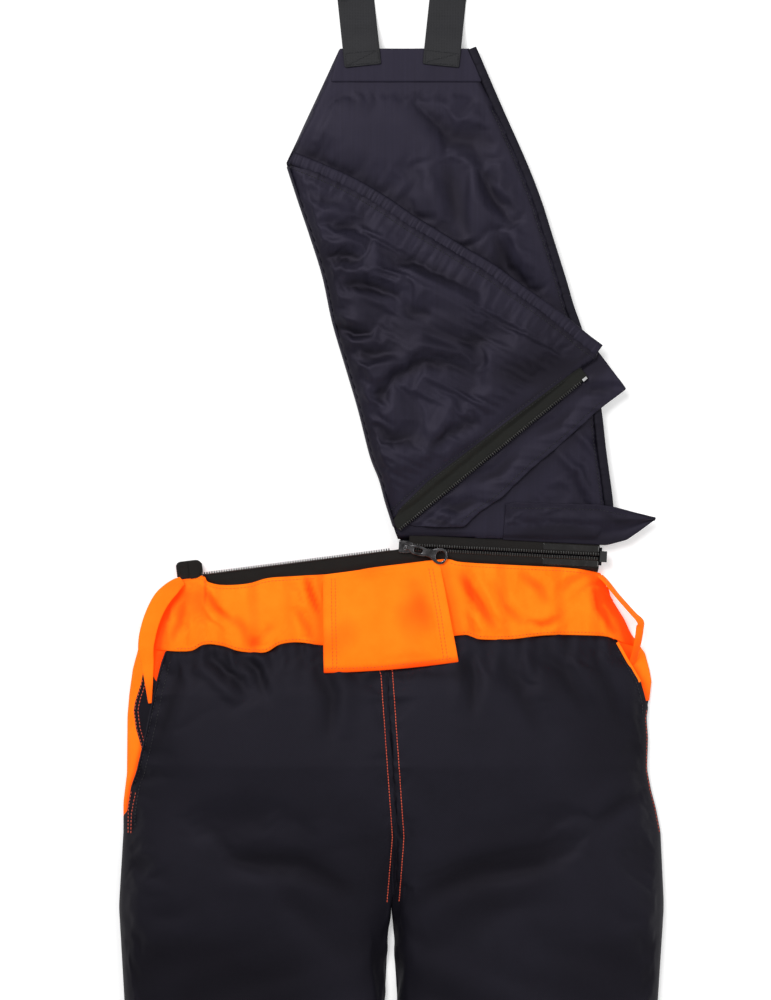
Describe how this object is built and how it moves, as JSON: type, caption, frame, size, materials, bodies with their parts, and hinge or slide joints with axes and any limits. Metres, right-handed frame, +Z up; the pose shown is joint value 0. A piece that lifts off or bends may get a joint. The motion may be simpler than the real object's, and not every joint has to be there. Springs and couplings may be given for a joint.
{
  "type": "chainsaw protective trousers",
  "caption": "Chainsaw trousers lying face down, with padded legs, orange waist and hips, belt loops, braces, and a zip-off padded back panel part unzipped and folded over.",
  "frame": {"origin": "middle of the waist opening, on the surface the trousers lie on", "axes": "+Y from the hems to the braces, +Z up off the surface, +X to the wearer's right side as the trousers lie face down"},
  "size_m": [0.5474, 1.8551, 0.0477],
  "materials": {
    "shell": "matt twill",
    "hi_vis": "matt",
    "protection": "fibre pad",
    "lining": "fine mesh",
    "panel_shell": "satin",
    "wadding": "wadding",
    "elastic": "woven elastic",
    "tape": "woven tape",
    "teeth": "moulded",
    "film": "clear film",
    "zip_metal": "dark nickel",
    "buckle": "moulded"
  },
  "bodies": {
    "trousers": {"seat_left": "shell", "seat_right": "shell", "front_left": "shell", "front_right": "shell", "hip_left": "hi_vis", "hip_right": "hi_vis", "cut_pad_left": "protection", "cut_pad_right": "protection", "leg_lining_left": "lining", "leg_lining_right": "lining", "cuff_left": "shell", "cuff_right": "shell", "waistband_back": "hi_vis", "waistband_front": "hi_vis", "waist_elastic": "elastic", "centre_loop": "hi_vis", "side_loop_left": "hi_vis", "side_loop_right": "hi_vis", "front_loops": "hi_vis", "pocket_welt_left": "hi_vis", "pocket_welt_right": "hi_vis", "pocket_bag_left": "shell", "pocket_bag_right": "shell", "fly_placket": "shell", "fly_chain": "tape", "waist_button": "zip_metal", "front_buckles": "buckle", "front_buckle_tabs": "tape", "waist_tape": "tape", "waist_teeth": "teeth", "tape_roll": "tape", "panel_tape": "tape", "panel_teeth": "teeth", "retainer_box": "teeth", "insertion_pin": "teeth", "end_film": "film", "panel_outer": "panel_shell", "panel_wadding": "wadding", "panel_lining": "lining", "panel_elastic": "elastic", "panel_yoke": "panel_shell", "brace_left": "elastic", "brace_right": "elastic"},
    "slider": {"zip_slider": "zip_metal"},
    "pull": {"zip_pull": "zip_metal"},
    "folded_panel": {"flap_outer": "panel_shell", "flap_wadding": "wadding", "flap_lining": "lining", "flap_elastic": "elastic", "flap_tape": "tape", "flap_teeth": "teeth", "top_stop": "zip_metal", "storm_flap_inner": "panel_shell"},
    "storm_flap_body": {"storm_flap": "panel_shell"},
    "adjuster_left_body": {"adjuster_left": "buckle"},
    "adjuster_right_body": {"adjuster_right": "buckle"},
    "buckle_left_body": {"buckle_left": "buckle"},
    "buckle_right_body": {"buckle_right": "buckle"},
    "fly_slider_body": {"fly_slider": "zip_metal"}
  },
  "joints": [
    {"name": "zip_slide", "type": "slide", "parent": "trousers", "child": "slider", "axis": [0.9987, -0.0506, 0], "range_m": [0, 0.17]},
    {"name": "zip_pull_hinge", "type": "hinge", "parent": "slider", "child": "pull", "pos_m": [0.01497, 0.01774, 0.0174], "axis": [-0.2571, -0.9664, 0], "range_deg": [0, 120]},
    {"name": "panel_fold", "type": "hinge", "parent": "trousers", "child": "folded_panel", "pos_m": [0.0035, 0.034, 0.0126], "axis": [0.2838, -0.9589, 0], "range_deg": [0, 172]},
    {"name": "storm_flap_lift", "type": "hinge", "parent": "trousers", "child": "storm_flap_body", "pos_m": [0.11246, 0.02453, 0.0126], "axis": [0.9987, -0.0506, 0], "range_deg": [0, 85]},
    {"name": "adjuster_left_slide", "type": "slide", "parent": "trousers", "child": "adjuster_left_body", "axis": [-0.1045, 0.9945, 0], "range_m": [-0.05, 0.045]},
    {"name": "buckle_left_hinge", "type": "hinge", "parent": "trousers", "child": "buckle_left_body", "pos_m": [-0.04054, 0.61934, 0.0089], "axis": [-0.9945, -0.1045, 0], "range_deg": [0, 120]},
    {"name": "adjuster_right_slide", "type": "slide", "parent": "trousers", "child": "adjuster_right_body", "axis": [0.1045, 0.9945, 0], "range_m": [-0.05, 0.045]},
    {"name": "buckle_right_hinge", "type": "hinge", "parent": "trousers", "child": "buckle_right_body", "pos_m": [0.06254, 0.61934, 0.0089], "axis": [-0.9945, 0.1045, 0], "range_deg": [0, 120]},
    {"name": "fly_slide", "type": "slide", "parent": "trousers", "child": "fly_slider_body", "axis": [0, -1, 0], "range_m": [0, 0.08]}
  ]
}
